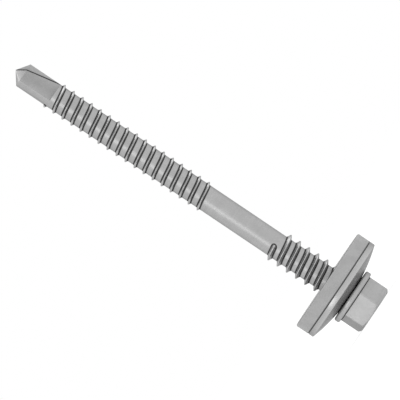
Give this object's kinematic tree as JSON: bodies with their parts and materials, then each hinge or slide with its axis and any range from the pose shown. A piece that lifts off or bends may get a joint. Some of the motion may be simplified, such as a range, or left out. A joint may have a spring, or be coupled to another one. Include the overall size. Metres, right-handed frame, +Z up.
{
  "type": "self drilling screw",
  "caption": "Self drilling screw with a fluted drill point, fine and support threads, a hexagon flange head and a captive dished sealing washer that turns on the shank.",
  "frame": {"origin": "on the table under the middle of the hexagon head, which the screw stands on", "axes": "+Z up the screw's own axis, from the head to the drill point; -Y is the side the picture shows, with +X towards the picture's upper right"},
  "size_m": [0.019, 0.019, 0.0741],
  "materials": {
    "plated_steel": "satin",
    "washer_steel": "satin",
    "grey_rubber": "matte"
  },
  "bodies": {
    "screw": {"screw": "plated_steel"},
    "washer": {"washer_plate": "washer_steel", "sealing_ring": "grey_rubber"}
  },
  "joints": [
    {"name": "washer_spin", "type": "hinge", "parent": "screw", "child": "washer", "pos_m": [0, 0, 0.00991], "axis": [0, 0, 1], "continuous": true}
  ]
}
